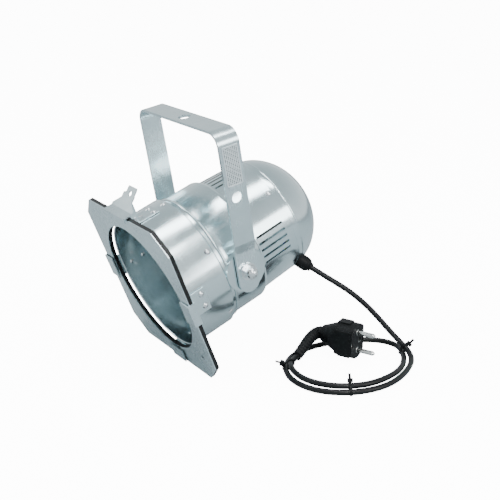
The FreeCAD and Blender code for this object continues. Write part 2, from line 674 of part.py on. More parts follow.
# ---------------------------------------------------------------- lamp and holder
def build_lamp():
    front = dim("lamp_front_station")
    glass = spun("lamp_bulb", [
        ("Dims.lamp_front_station", "0"),
        ("Dims.lamp_front_station + 6", "Dims.lamp_radius - 4",
         ("Dims.lamp_front_station + 1.6", "Dims.lamp_radius * 0.5")),
        ("Dims.lamp_front_station + 9", "Dims.lamp_radius"),
        ("Dims.lamp_front_station + 13", "Dims.lamp_radius"),
        ("Dims.lamp_front_station + 46", "Dims.lamp_neck_radius + 3",
         ("Dims.lamp_front_station + 34", "Dims.lamp_radius * 0.72")),
        ("Dims.lamp_front_station + Dims.lamp_length", "Dims.lamp_neck_radius"),
        ("Dims.lamp_front_station + Dims.lamp_length", "0"),
    ])
    node(glass, "lamp_bulb", CAN)
    base_at = Vector(0, front + dim("lamp_length"), 0)
    cap = rod("lamp_cap_body", base_at, ALONG_Y, "Dims.lamp_cap_radius", "Dims.lamp_cap_length - 6")
    tip = solid("Cone", "lamp_cap_tip",
                Placement(base_at + Vector(0, dim("lamp_cap_length") - 6, 0), ALONG_Y),
                Radius1="Dims.lamp_cap_radius", Radius2=5.0, Height=6.0)
    node(fuse("lamp_cap", [cap, tip]), "lamp_screw_cap", CAN)

    start = Vector(0, HOLDER_START, 0)
    fixings = HOLDER_SCREWS + [EARTH_SCREW]
    outer = rod("holder_outer", start, ALONG_Y, "Dims.holder_radius", "Dims.holder_length")
    well = rod("holder_well", start - Vector(0, 1, 0), ALONG_Y,
               "Dims.lamp_cap_radius + Dims.holder_shell_gauge", "Dims.lamp_cap_length + 4.4")
    node(cut("holder", outer, well, *HOLDER_SCREWS), "lampholder_ceramic", CAN)
    shell = rod("holder_shell_outer", start, ALONG_Y,
                "Dims.lamp_cap_radius + Dims.holder_shell_gauge", "Dims.lamp_cap_length - 3")
    inside = rod("holder_shell_inner", start - Vector(0, 1, 0), ALONG_Y, "Dims.lamp_cap_radius",
                 "Dims.lamp_cap_length + 2")
    node(cut("holder_shell", shell, inside), "lampholder_shell", CAN)
    tip_at = base_at + Vector(0, dim("lamp_cap_length"), 0)
    node(rod("centre_contact", tip_at, ALONG_Y, 4.0, 4.0), "lampholder_contact", CAN)

    # a bent strap carries the holder from the cap's tucked edge
    seat = "Dims.lamp_front_station + Dims.lamp_length + 0.6 + Dims.holder_length"
    gauge = "Dims.carrier_gauge"
    half = [
        ("Dims.carrier_half_span", seat),
        ("Dims.carrier_foot_x - " + gauge, "Dims.carrier_foot_end - 0.5"),
        ("Dims.carrier_foot_x - " + gauge, "Dims.carrier_foot_start"),
        ("Dims.carrier_foot_x", "Dims.carrier_foot_start"),
        ("Dims.carrier_foot_x", "Dims.carrier_foot_end"),
        ("Dims.carrier_half_span + 1", "%s + %s" % (seat, gauge)),
    ]
    mirrored = [("-(%s)" % x, y) for x, y in reversed(half)]
    strap = plate("carrier_strap", "XY_Plane", half + mirrored, "Dims.carrier_width", middle=True)
    trim = rod("carrier_trim", Vector(0, 100, 0), ALONG_Y,
               "Dims.joint_radius - Dims.shell_gauge - Dims.running_gap - 1", 80)
    carrier = common("carrier_trimmed", strap, trim)
    node(cut("carrier", carrier, *(fixings + CARRIER_RIVETS)), "lampholder_carrier", CAN)

    tag_at = Vector(20, HOLDER_SEAT + dim("carrier_gauge"), -4)
    tag = block("earth_tag_plate", tag_at, 14, 0.8, 8)
    node(cut("tag", tag, EARTH_SCREW), "earth_tag", CAN)


# ---------------------------------------------------------------- tubes along a route
def rounded_route(points, names):
    """Straight runs joined by tangent arcs; each arc takes 0.45 of the shorter run beside it."""
    edges, radii = [], []
    last = points[0]
    for before, here, after in zip(points, points[1:], points[2:]):
        a, b = (here - before), (after - here)
        turn = a.getAngle(b)
        reach = 0.45 * min(a.Length, b.Length)
        radii.append(reach / math.tan(turn / 2))
        a.normalize()
        b.normalize()
        start, end = here - a * reach, here + b * reach
        inward = (b - a).normalize()
        radius = radii[-1]
        centre = here + inward * (radius / math.cos(turn / 2))
        middle = centre - inward * radius
        edges.append(Part.LineSegment(last, start).toShape())
        edges.append(Part.Arc(start, middle, end).toShape())
        last = end
    edges.append(Part.LineSegment(last, points[-1]).toShape())
    print(names, "radii", [round(r, 1) for r in radii])
    return Part.Wire(edges)


def tube(label, points, radius, frame=None):
    """A round tube swept along a route, checked against its section times its length."""
    wire = rounded_route(points, label)
    direction = points[1] - points[0]
    section = Part.Wire(Part.makeCircle(radius, points[0], direction))
    shape = wire.makePipeShell([section], True, False, 2)
    if shape.Volume < 0:
        shape.reverse()
    ratio = shape.Volume / (math.pi * radius ** 2 * wire.Length)
    print(label, "length %.1f" % wire.Length, "volume / (section x length) %.4f" % ratio)
    item = doc.addObject("Part::Feature", label)
    item.Shape = shape
    nodes.append(item)
    if frame is not None:
        item.Placement = frame
    return wire.Length


# ---------------------------------------------------------------- gland, lead and plug
GLAND = CAN.multiply(gland_frame())
FLOOR_Z = (PIVOT.z - (dim("pivot_station") * math.sin(math.radians(dim("tilt_deg")))
                      + dim("frame_side") / 2 * math.cos(math.radians(dim("tilt_deg")))))
LOOP_CENTRE = Vector(122.0, PIVOT.y + 90.0, FLOOR_Z)

# the lead from the gland down to the tie on the loop, chosen by hand, as offsets from the pivot
LEAD_ROUTE = [(66.5, 105.5, -32.8), (80.5, 119.0, -43.6), (93.5, 130.3, -56.5), (104.0, 139.3, -69.8),
              (113.0, 146.5, -82.0), (120.8, 151.9, -92.6), (126.3, 154.6, -98.6)]


def build_gland():
    """Threaded body seated on the dome, domed nut outside and a lock nut inside."""
    turn = Rotation()
    stem_radius = "Dims.gland_radius - 2.05"
    bore = "Dims.cord_diameter / 2"
    dome = spun("gland_seat_dome", [("Dims.joint_station", "0")] + dome_outline())
    dome.Placement = gland_frame().inverse()
    stem = rod("gland_stem", Vector(0, 0, -9), turn, stem_radius, 11)
    flange = rod("gland_flange", Vector(0, 0, -1.5), turn, "Dims.gland_radius", 4.5)
    seated = cut("gland_seated", flange, dome)
    way = rod("gland_bore", Vector(0, 0, -12), turn, bore, 40)
    node(cut("gland", fuse("gland_parts", [stem, seated]), way), "gland_body", GLAND)

    skirt = rod("gland_skirt", Vector(0, 0, 3), turn, "Dims.gland_radius", 3)
    ball = solid("Sphere", "gland_dome_ball", Placement(Vector(0, 0, 6), turn),
                 Radius="Dims.gland_radius", Angle1=0.0, Angle2=90.0, Angle3=360.0)
    nose = rod("gland_nose", Vector(0, 0, 6), turn, 4.6, 8)
    way = rod("gland_dome_bore", Vector(0, 0, -12), turn, bore + " + 0.3", 40)
    node(cut("gland_cap", fuse("gland_cap_parts", [skirt, ball, nose]), way), "gland_nut", GLAND)

    ring = rod("locknut_ring", Vector(0, 0, -8), turn, "Dims.gland_radius", 2.4)
    way = rod("locknut_bore", Vector(0, 0, -12), turn, stem_radius, 20)
    node(cut("locknut", ring, way), "gland_locknut", GLAND)


def build_lead():
    """The free lead: a tube down to the tied loop, and the loop as one flat ring."""
    tail = GLAND.multVec(Vector(0, 0, -9))
    mouth = GLAND.multVec(Vector(0, 0, 12))
    route = [tail, mouth] + [PIVOT + Vector(*offset) for offset in LEAD_ROUTE]
    tube("cord_lead", route, dim("cord_diameter") / 2)

    def oval(name, rx, ry, height):
        item = doc.addObject("Part::Ellipse", name)
        item.setExpression("MajorRadius", ry)
        item.setExpression("MinorRadius", rx)
        item.Placement = Placement(LOOP_CENTRE, Rotation(Z_AXIS, 90))
        tall = doc.addObject("Part::Extrusion", name + "_tall")
        tall.Base = item
        tall.Dir = Z_AXIS
        tall.setExpression("LengthFwd", height)
        tall.Solid = True
        return tall

    outer = oval("loop_outer", "Dims.loop_outer_x", "Dims.loop_outer_y", "Dims.loop_height")
    inner = oval("loop_inner", "Dims.loop_inner_x", "Dims.loop_inner_y", "Dims.loop_height")
    node(cut("loop", outer, inner), "cord_loop")


def build_ties():
    """Three narrow ties round the loop, each with its locking head on top."""
    for word, degrees in (("right", 84.0), ("near", -36.0), ("left", -122.0)):
        angle = math.radians(degrees)

        def on_oval(rx, ry):
            reach = 1 / math.hypot(math.cos(angle) / rx, math.sin(angle) / ry)
            return reach

        low = on_oval(dim("loop_inner_x"), dim("loop_inner_y"))
        high = on_oval(dim("loop_outer_x"), dim("loop_outer_y"))
        turn = Rotation(Z_AXIS, degrees)
        corner = LOOP_CENTRE + turn.multVec(Vector(low - 1.2, -1.3, 0.05))
        band = solid("Box", "tie_band_" + word, Placement(corner, turn),
                     Length=high - low + 2.4, Width=2.6, Height=8.2)
        hollow = solid("Box", "tie_hollow_" + word,
                       Placement(corner + turn.multVec(Vector(1.2, -1, -1)), turn),
                       Length=high - low, Width=4.6, Height=8.0)
        head = solid("Box", "tie_head_" + word,
                     Placement(corner + turn.multVec(Vector(high - low - 3.0, -1.2, 7.6)), turn),
                     Length=5.0, Width=5.0, Height=5.5)
        node(fuse("tie_" + word, [cut("tie_loop_" + word, band, hollow), head]), "cord_tie_" + word)


PLUG_TAIL = PIVOT + Vector(85.0, 50.0, -97.6)
PLUG_NECK = PIVOT + Vector(76.6, 89.9, -84.6)
PLUG_FACE = PIVOT + Vector(112.3, 105.8, -84.6)


def plug_frame():
    """Origin in the middle of the plug's face, Z out along the pins, Y the pins' line, upwards."""
    out = (PLUG_FACE - PLUG_NECK).normalize()
    return Placement(PLUG_FACE, Rotation(Vector(), Z_AXIS, out, "ZYX"))


def build_plug():
    frame = plug_frame()
    head = solid("Cylinder", "plug_head", Placement(Vector(0, 0, -20), Rotation()),
                 Radius="Dims.plug_head_radius", Height=20.0)
    waist = solid("Cone", "plug_waist", Placement(Vector(0, 0, -dim("plug_length")), Rotation()),
                  Radius1=8.5, Radius2=16.5, Height="Dims.plug_length - 20")
    flats = [block("plug_flat_%d" % i, Vector(x, -30, -45), 20, 60, 60)
             for i, x in enumerate((-33.5, 13.5))]
    grooves = [block("plug_groove_%d" % i, Vector(x, -3.5, -4.2), 4, 7, 6)
               for i, x in enumerate((-15.5, 11.5))]
    body = fuse("plug_parts", [head, waist])
    holes = [rod("plug_pin_way_%d" % i, Vector(0, y, -8), Rotation(), "Dims.pin_foot_radius", 12)
             for i, y in enumerate((-9.5, 9.5))]
    well = rod("plug_earth_well", Vector(4.0, 0, -9), Rotation(), 2.6, 12)
    node(cut("plug", body, *(flats + grooves + holes + [well])), "plug_body", frame)
    pins = []
    for i, side in enumerate((-1, 1)):
        root = Vector(0, side * dim("pin_spacing") / 2, 0)
        foot = rod("pin_foot_%d" % i, root + Vector(0, 0, -8), Rotation(), "Dims.pin_foot_radius", 8)
        shaft = rod("pin_shaft_%d" % i, root, Rotation(), "Dims.pin_radius", "Dims.pin_length - 2")
        tip = solid("Cone", "pin_tip_%d" % i,
                    Placement(root + Vector(0, 0, dim("pin_length") - 2), Rotation()),
                    Radius1="Dims.pin_radius", Radius2=1.2, Height=2.0)
        pins.append(fuse("pin_%d" % i, [foot, shaft, tip]))
    node(group("pins", pins), "plug_pins", frame)
    clips = [block("earth_strip_%d" % i, Vector(x, -3.3, -4.0), 0.8, 6.6, 3.8)
             for i, x in enumerate((-13.4, 12.6))]
    node(group("earth_strips", clips), "plug_earth_strips", frame)
    ring = cut("earth_ring", rod("earth_ring_outer", Vector(4.0, 0, -9), Rotation(), 2.6, 9.2),
               rod("earth_ring_inner", Vector(4.0, 0, -10), Rotation(), 1.9, 12))
    node(ring, "plug_earth_socket", frame)

    # ribbed strain relief: a tapered sweep from the loop up into the waist
    waist_end = frame.multVec(Vector(0, 0, -dim("plug_length")))
    inward = (frame.Rotation.multVec(Z_AXIS)) * -1
    bend = Part.BSplineCurve()
    bend.buildFromPolesMultsKnots([PLUG_TAIL, PLUG_TAIL + Vector(-6.0, 15.0, 3.5),
                                   waist_end + inward * 14.0, waist_end], [4, 4], [0, 1], False, 3)
    path = Part.Wire(bend.toShape())
    stations = 27
    rings = []
    for i in range(stations):
        along = i / (stations - 1.0)
        radius = 5.2 + 1.6 * along - (0.5 if i % 2 else 0.0)
        t = bend.FirstParameter + along * (bend.LastParameter - bend.FirstParameter)
        rings.append(Part.Wire(Part.makeCircle(radius, bend.value(t), bend.tangent(t)[0])))
    relief = doc.addObject("Part::Feature", "plug_strain_relief")
    relief.Shape = Part.makeLoft(rings, True, True)
    nodes.append(relief)
    print("strain relief length %.1f" % path.Length, "volume %.0f" % relief.Shape.Volume)


def build_wires():
    """Two sleeved conductors and an earth wire, from the gland to the holder and the earth tag."""
    away = gland_frame().Rotation.multVec(Z_AXIS) * -1
    back = HOLDER_SEAT
    ends = {
        "wire_live": (90, Vector(6, back, -14.0)),
        "wire_neutral": (330, Vector(-6, back, -14.0)),
        "wire_earth": (210, Vector(31, back + dim("carrier_gauge") + 0.8, -1.5)),
    }
    for label, (degrees, end) in ends.items():
        across_x, across_y = polar(1.5, degrees)
        start = gland_frame().multVec(Vector(across_x, across_y, -9))
        first = start + away * 13
        last = end + Vector(0, 11, 0)
        between = (first + last) * 0.5 + Vector(0, 5, -3)
        tube(label, [start, first, between, last, end], dim("wire_radius"), CAN)


build_filter_frame()
build_front_sleeve()
housing_blank = build_rear_housing()
build_rear_cap()
build_pivots(housing_blank)
build_yoke()
build_clips()
build_latch()
build_lamp()
build_fasteners()
build_gland()
build_lead()
build_ties()
build_plug()
build_wires()
doc.recompute()

# ---------------------------------------------------------------- checks and export
for item in doc.Objects:
    if "Invalid" in item.State or "Error" in item.State:
        raise RuntimeError("%s is %s" % (item.Label, item.State))
labels = [piece.Label for piece in nodes]
assert len(labels) == len(set(labels)), "two sub-parts share a name"
for piece in nodes:
    shape = piece.Shape
    if shape.isNull() or not shape.isValid() or shape.Volume <= 0:
        raise RuntimeError("%s has no valid solid" % piece.Label)
    shape.exportStep("parts/%s.step" % piece.Label)
print(len(nodes), "sub-parts written")
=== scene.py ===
import bpy
import json
import math
from mathutils import Matrix, Vector


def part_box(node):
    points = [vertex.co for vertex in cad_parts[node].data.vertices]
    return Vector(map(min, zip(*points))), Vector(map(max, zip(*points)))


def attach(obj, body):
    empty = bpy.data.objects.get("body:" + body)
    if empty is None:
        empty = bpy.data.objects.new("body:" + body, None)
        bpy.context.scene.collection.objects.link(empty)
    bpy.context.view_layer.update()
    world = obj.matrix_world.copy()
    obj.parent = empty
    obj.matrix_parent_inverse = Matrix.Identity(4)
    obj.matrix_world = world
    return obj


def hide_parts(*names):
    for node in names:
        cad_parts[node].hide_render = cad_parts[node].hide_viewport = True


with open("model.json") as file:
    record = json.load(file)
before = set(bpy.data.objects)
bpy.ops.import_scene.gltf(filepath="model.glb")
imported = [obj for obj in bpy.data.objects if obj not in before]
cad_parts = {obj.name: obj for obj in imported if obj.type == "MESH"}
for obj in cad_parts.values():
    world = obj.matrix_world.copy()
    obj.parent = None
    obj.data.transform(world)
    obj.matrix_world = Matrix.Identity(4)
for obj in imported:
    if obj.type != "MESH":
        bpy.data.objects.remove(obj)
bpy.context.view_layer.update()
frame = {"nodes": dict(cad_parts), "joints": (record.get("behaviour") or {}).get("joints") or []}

MM = 0.001
PIVOT = Vector(frame["joints"][0]["pos_m"])
CAN_DEGREES = 21
YOKE_DEGREES = 10
CAN_TURN = Matrix.Rotation(math.radians(CAN_DEGREES), 4, "X")
YOKE_TURN = Matrix.Rotation(math.radians(YOKE_DEGREES), 4, "X")
PIVOT_STATION = 73.3
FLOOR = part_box("cord_loop")[0].z


def from_pivot(x, y, z):
    return PIVOT + Vector((x, y, z)) * MM


def can_point(x, s, v):
    """A point given across, along and above the can's axis, in millimetres from its front."""
    return PIVOT + (CAN_TURN @ Vector((x, s - PIVOT_STATION, v))) * MM


def yoke_point(x, w, u):
    """A point given across, front to back and up the leaning yoke, in millimetres from the pivot."""
    return PIVOT + (YOKE_TURN @ Vector((x, w, u))) * MM


def link(obj, body):
    bpy.context.scene.collection.objects.link(obj)
    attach(obj, body)
    return obj


# ---------------------------------------------------------------- camera
camera_data = bpy.data.cameras.new("camera")
camera_data.lens = 69.5
camera_data.sensor_width = 36.0
camera_data.clip_start = 0.01
camera_data.clip_end = 100.0
camera = bpy.data.objects.new("camera", camera_data)
bpy.context.scene.collection.objects.link(camera)
back = Vector((0.7874, -0.5218, 0.3282)).normalized()
side = Vector((0.0, 0.0, 1.0)).cross(back).normalized()
camera.matrix_world = Matrix((side, back.cross(side), back)).transposed().to_4x4()
camera.location = from_pivot(791.8, -474.3, 320.5)
bpy.context.scene.camera = camera

# ---------------------------------------------------------------- cord
# centres of the cord in millimetres from the pivot: down from the gland, once round on the floor,
# then along the inside of the first turn and up into the plug
CORD_RADIUS = 2.9
LEAD = [(50.2, 90.8, -20.8), (66.5, 105.5, -32.8), (80.5, 119.0, -43.6), (93.5, 130.3, -56.5),
        (104.0, 139.3, -69.8), (113.0, 146.5, -82.0), (122.3, 152.8, -92.3), (135.0, 154.4, -98.6),
        (147.8, 148.0, -101.6), (158.0, 135.2, -102.5)]
FIRST_TURN = [(167.5, 118.5), (175.0, 97.0), (175.5, 74.0), (168.0, 50.5), (150.5, 29.5),
              (127.0, 21.0), (103.0, 24.5), (82.5, 38.5), (69.5, 60.0), (66.0, 88.0),
              (70.5, 115.0), (80.5, 138.0), (95.0, 154.5), (112.0, 159.8), (128.0, 153.5)]
SECOND_TURN = [(144.0, 141.0, -102.7), (157.5, 124.5, -101.8), (167.4, 101.5, -99.8),
               (171.3, 75.5, -98.4), (164.2, 52.0, -98.0), (148.5, 34.5, -98.0),
               (129.5, 26.0, -97.6), (111.0, 27.0, -97.0)]
TAIL = [(97.3, 33.0, -97.0), (88.3, 44.0, -97.5), (83.2, 57.0, -95.9)]
FLOOR_Z = -102.7

route = LEAD + [(x, y, FLOOR_Z) for x, y in FIRST_TURN] + SECOND_TURN + TAIL
curve = bpy.data.curves.new("cord", "CURVE")
curve.dimensions = "3D"
spline = curve.splines.new("NURBS")
spline.points.add(len(route) - 1)
for point, place in zip(spline.points, route):
    point.co = (*from_pivot(*place), 1.0)
    point.radius = CORD_RADIUS * MM
spline.order_u = 3
spline.use_endpoint_u = True
curve.resolution_u = 12
curve.bevel_depth = 1.0  # one metre, which each point's own radius scales down
curve.bevel_resolution = 5
cord = link(bpy.data.objects.new("cord", curve), "can")
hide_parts("cord_lead", "cord_loop")

# ---------------------------------------------------------------- materials
def new_material(name):
    made = bpy.data.materials.new(name)
    made.use_nodes = True
    tree = made.node_tree
    return made, tree, tree.nodes["Principled BSDF"]


def frame_coordinates(tree, turn_degrees, stretch):
    """Coordinates in millimetres, turned into the can's or the yoke's own frame and stretched."""
    where = tree.nodes.new("ShaderNodeTexCoord")
    turn = tree.nodes.new("ShaderNodeMapping")
    turn.vector_type = "TEXTURE"
    turn.inputs["Location"].default_value = PIVOT
    turn.inputs["Rotation"].default_value = (math.radians(turn_degrees), 0, 0)
    turn.inputs["Scale"].default_value = (MM, MM, MM)
    tree.links.new(where.outputs["Object"], turn.inputs["Vector"])
    scale = tree.nodes.new("ShaderNodeMapping")
    scale.inputs["Scale"].default_value = stretch
    tree.links.new(turn.outputs["Vector"], scale.inputs["Vector"])
    return scale.outputs["Vector"]


def noise(tree, vector, scale, detail=3.0):
    made = tree.nodes.new("ShaderNodeTexNoise")
    made.inputs["Scale"].default_value = scale
    made.inputs["Detail"].default_value = detail
    tree.links.new(vector, made.inputs["Vector"])
    return made.outputs["Fac"]


def spread(tree, factor, low, high):
    made = tree.nodes.new("ShaderNodeMapRange")
    made.inputs["From Min"].default_value = 0.3
    made.inputs["From Max"].default_value = 0.7
    made.inputs["To Min"].default_value = low
    made.inputs["To Max"].default_value = high
    tree.links.new(factor, made.inputs["Value"])
    return made.outputs["Result"]


def tint(tree, factor, dark, light):
    made = tree.nodes.new("ShaderNodeMix")
    made.data_type = "RGBA"
    made.inputs["A"].default_value = (*dark, 1)
    made.inputs["B"].default_value = (*light, 1)
    tree.links.new(factor, made.inputs["Factor"])
    return made.outputs["Result"]


def bump(tree, shader, height, depth_mm):
    made = tree.nodes.new("ShaderNodeBump")
    made.inputs["Strength"].default_value = 1.0
    made.inputs["Distance"].default_value = depth_mm * MM
    tree.links.new(height, made.inputs["Height"])
    tree.links.new(made.outputs["Normal"], shader.inputs["Normal"])


def worked_metal(name, dark, light, rough, turn, grain, depth, cloud=0.035):
    """Bare metal: clouded tint and gloss, with working marks drawn out along one direction."""
    made, tree, shader = new_material(name)
    shader.inputs["Metallic"].default_value = 1.0
    soft = noise(tree, frame_coordinates(tree, turn, (1, 1, 1)), cloud)
    tree.links.new(tint(tree, soft, dark, light), shader.inputs["Base Color"])
    marks = noise(tree, frame_coordinates(tree, turn, grain), 1.0, 4.0)
    mixed = tree.nodes.new("ShaderNodeMath")
    mixed.operation = "ADD"
    tree.links.new(spread(tree, soft, *rough), mixed.inputs[0])
    tree.links.new(spread(tree, marks, -0.02, 0.03), mixed.inputs[1])
    tree.links.new(mixed.outputs[0], shader.inputs["Roughness"])
    bump(tree, shader, marks, depth)
    return made


def dull(name, dark, light, rough, scale, depth, metallic=0.0, coat=0.0, specular=0.5):
    """Moulded or glazed surfaces, and the plain black standing for painted shade: a fine even grain,
    slightly uneven in tint and gloss.
    """
    made, tree, shader = new_material(name)
    shader.inputs["Metallic"].default_value = metallic
    shader.inputs["Coat Weight"].default_value = coat
    shader.inputs["Specular IOR Level"].default_value = specular
    grain = noise(tree, frame_coordinates(tree, 0, (1, 1, 1)), scale)
    soft = noise(tree, frame_coordinates(tree, 0, (1, 1, 1)), scale * 0.08)
    tree.links.new(tint(tree, soft, dark, light), shader.inputs["Base Color"])
    tree.links.new(spread(tree, grain, *rough), shader.inputs["Roughness"])
    bump(tree, shader, grain, depth)
    return made


SILVER_DARK, SILVER = (0.55, 0.66, 0.69), (0.72, 0.82, 0.845)
BLACK, OFF_BLACK = (0.003, 0.0035, 0.004), (0.009, 0.010, 0.011)
MATERIALS = {
    "spun": worked_metal("spun_aluminium", SILVER_DARK, SILVER, (0.13, 0.2), CAN_DEGREES,
                         (0.02, 2.2, 0.02), 0.02),
    "strap": worked_metal("strap_aluminium", SILVER_DARK, SILVER, (0.2, 0.3), YOKE_DEGREES,
                          (1.2, 1.2, 0.03), 0.02),
    "sheet": worked_metal("sheet_aluminium", SILVER_DARK, SILVER, (0.24, 0.34), CAN_DEGREES,
                          (1.5, 0.3, 0.05), 0.015),
    "zinc": worked_metal("zinc_plate", (0.66, 0.7, 0.72), (0.84, 0.86, 0.87), (0.12, 0.22), 0,
                         (1.5, 1.5, 1.5), 0.01, 0.2),
    "nickel": worked_metal("nickel_plate", (0.66, 0.66, 0.64), (0.84, 0.84, 0.82), (0.1, 0.18), 0,
                           (1.2, 1.2, 1.2), 0.008, 0.2),
    "brass": worked_metal("brass", (0.6, 0.43, 0.16), (0.78, 0.6, 0.28), (0.2, 0.32),
                          CAN_DEGREES, (1.2, 1.2, 1.2), 0.01, 0.2),
    "steel": worked_metal("spring_steel", (0.32, 0.33, 0.34), (0.5, 0.51, 0.52), (0.25, 0.35),
                          CAN_DEGREES, (3.0, 3.0, 3.0), 0.01, 0.3),
    # painted shade and reflection: the filter frame's back plate is plain black, standing for the
    # shaded gap and the dark reflections along the frame's edges
    "black_shade": dull("black_enamel", BLACK, OFF_BLACK, (0.3, 0.45), 1.2, 0.02, specular=0.3),
    "label": worked_metal("label_plate", (0.8, 0.86, 0.88), (0.9, 0.95, 0.96), (0.3, 0.42),
                          YOKE_DEGREES, (1.5, 1.5, 0.2), 0.02),
    "marks": dull("label_marks", (0.07, 0.1, 0.11), (0.14, 0.18, 0.19), (0.45, 0.6), 2.0, 0.01),
    "nylon": dull("black_nylon", BLACK, OFF_BLACK, (0.4, 0.52), 1.6, 0.02, specular=0.12),
    "pvc": dull("black_pvc", BLACK, OFF_BLACK, (0.3, 0.42), 0.9, 0.03, specular=0.25),
    "moulding": dull("plug_moulding", BLACK, OFF_BLACK, (0.42, 0.55), 2.2, 0.03, specular=0.15),
    "fibre": dull("fibre", (0.05, 0.035, 0.025), (0.1, 0.075, 0.055), (0.7, 0.85), 2.5, 0.05),
    "ceramic": dull("ceramic", (0.72, 0.7, 0.64), (0.84, 0.83, 0.78), (0.12, 0.22), 0.6, 0.02,
                    coat=0.6),
    "brown": dull("brown_sleeve", (0.1, 0.035, 0.01), (0.16, 0.06, 0.02), (0.35, 0.5), 1.5, 0.01),
    "blue": dull("blue_sleeve", (0.01, 0.05, 0.3), (0.02, 0.08, 0.42), (0.35, 0.5), 1.5, 0.01),
    "green": dull("green_sleeve", (0.12, 0.3, 0.01), (0.4, 0.45, 0.02), (0.35, 0.5), 1.5, 0.01),
    "bulb": dull("frosted_lamp", (0.62, 0.66, 0.68), (0.78, 0.8, 0.81), (0.16, 0.3), 0.5, 0.03,
                 metallic=0.55, coat=0.5),
}

FINISH = {
    "spun": ["front_sleeve", "rear_housing", "rear_cap", "pivot_seat_near", "pivot_seat_far"],
    "strap": ["yoke"],
    "sheet": ["filter_frame_front", "filter_clip_near", "filter_clip_far", "filter_clip_bottom",
              "latch_bracket", "top_latch", "filter_frame_rivets"],
    "label": ["rating_label"],
    "zinc": ["outer_washer_near", "outer_washer_far", "cap_screws", "pivot_bolt_near",
             "pivot_bolt_far", "lock_nut_near", "lock_nut_far", "latch_pin", "lampholder_carrier",
             "holder_screws", "carrier_rivets", "earth_tag", "earth_screw", "sleeve_rivets",
             "clip_rivets", "latch_rivets"],
    "nickel": ["plug_pins", "plug_earth_strips", "plug_earth_socket", "lamp_screw_cap"],
    "brass": ["lampholder_shell", "lampholder_contact"],
    "steel": ["latch_spring"],
    # painted shade: this black back plate stands for shade and dark reflection at the filter frame's
    # edges
    "black_shade": ["filter_frame_back"],
    "nylon": ["gland_body", "gland_nut", "gland_locknut"],
    "moulding": ["plug_body", "plug_strain_relief"],
    "fibre": ["friction_washer_near", "friction_washer_far"],
    "ceramic": ["lampholder_ceramic"],
    "brown": ["wire_live"],
    "blue": ["wire_neutral"],
    "green": ["wire_earth"],
    "bulb": ["lamp_bulb"],
}
for finish, names in FINISH.items():
    for name in names:
        mesh = frame["nodes"][name].data
        mesh.materials.clear()
        mesh.materials.append(MATERIALS[finish])
curve.materials.append(MATERIALS["pvc"])

# ---------------------------------------------------------------- edges
for name, piece in frame["nodes"].items():
    for face in piece.data.polygons:
        face.use_smooth = True
    piece.data.set_sharp_from_angle(angle=math.radians(32))


def solid_mesh(name, corners, faces, body, finish, smooth=False):
    mesh = bpy.data.meshes.new(name)
    mesh.from_pydata([tuple(corner) for corner in corners], [], faces)
    mesh.validate()
    for face in mesh.polygons:
        face.use_smooth = smooth
    if smooth:
        mesh.set_sharp_from_angle(angle=math.radians(40))
    mesh.materials.append(MATERIALS[finish])
    return link(bpy.data.objects.new(name, mesh), body)


BOX_FACES = [(0, 2, 3, 1), (4, 5, 7, 6), (0, 1, 5, 4), (2, 6, 7, 3), (0, 4, 6, 2), (1, 3, 7, 5)]


def box_corners(centre, axes, halves):
    """Eight corners of a box with its own axes; sizes in millimetres."""
    corners = []
    for i in range(8):
        signs = [1 if i & bit else -1 for bit in (1, 2, 4)]
        steps = (axis * (sign * half * MM) for axis, sign, half in zip(axes, signs, halves))
        corners.append(centre + sum(steps, Vector()))
    return corners


def boxes(name, parts, body, finish):
    """Several boxes as one object: each part is (centre, axes, half sizes)."""
    corners, faces = [], []
    for centre, axes, halves in parts:
        first = len(corners)
        corners.extend(box_corners(centre, axes, halves))
        faces.extend(tuple(first + i for i in face) for face in BOX_FACES)
    return solid_mesh(name, corners, faces, body, finish)


RINGS = 5
STEPS = 20


def domes(name, places, radius, height, body, finish):
    """Low domed heads, each given as its base centre and its outward direction."""
    ball = (radius ** 2 + height ** 2) / (2 * height)
    corners, faces = [], []
    for base, out in places:
        turn = out.to_track_quat("Z", "Y")
        first = len(corners)
        for ring in range(RINGS):
            rise = math.asin(radius / ball) * (1 - ring / RINGS)
            for step in range(STEPS):
                around = math.tau * step / STEPS
                flat = Vector((math.cos(around), math.sin(around), 0)) * ball * math.sin(rise)
                lift = ball * math.cos(rise) - ball + height
                corners.append(base + turn @ (flat + Vector((0, 0, lift))) * MM)
        corners.append(base + out * height * MM)
        for ring in range(RINGS - 1):
            for step in range(STEPS):
                here, there = first + ring * STEPS, (step + 1) % STEPS
                faces.append((here + step, here + there, here + STEPS + there, here + STEPS + step))
        top = first + (RINGS - 1) * STEPS
        peak = top + STEPS
        faces.extend((top + step, top + (step + 1) % STEPS, peak) for step in range(STEPS))
        faces.append(tuple(first + STEPS - 1 - step for step in range(STEPS)))
    return solid_mesh(name, corners, faces, body, finish, smooth=True)


def can_turned(x, s, v):
    return CAN_TURN.to_3x3() @ Vector((x, s, v))


def around_can(degrees, station, radius, shift=0.0):
    """A place on the can, at an angle up from +X, and the direction straight out from there."""
    angle = math.radians(degrees)
    out = Vector((math.cos(angle), 0, math.sin(angle)))
    along = Vector((-math.sin(angle), 0, math.cos(angle)))
    spot = out * radius + along * shift
    return can_point(spot.x, station, spot.z), can_turned(*out)


heads = [around_can(30 + 60 * i, 46.25, 70.7) for i in range(6)]
heads += [around_can(angle, 20.5, 71.9, shift + offset)
          for angle, shift in ((0, 0), (-90, 8), (180, 0)) for offset in (-6.5, 6.5)]
heads += [(can_point(x, 32.3, 71.9), can_turned(0, 0, 1)) for x in (-5.5, 5.5)]
domes("rivet_heads", heads, 3.05, 1.5, "can", "zinc")
domes("rivet_tails", [(can_point(-69.4, s, -2.1), can_turned(1, 0, 0)) for s in (17.0, 31.1)],
      2.3, 0.9, "can", "zinc")
domes("screw_heads", [around_can(angle, 135.9, 61.5) for angle in (45, 165, 285)], 3.05, 1.6,
      "can", "zinc")

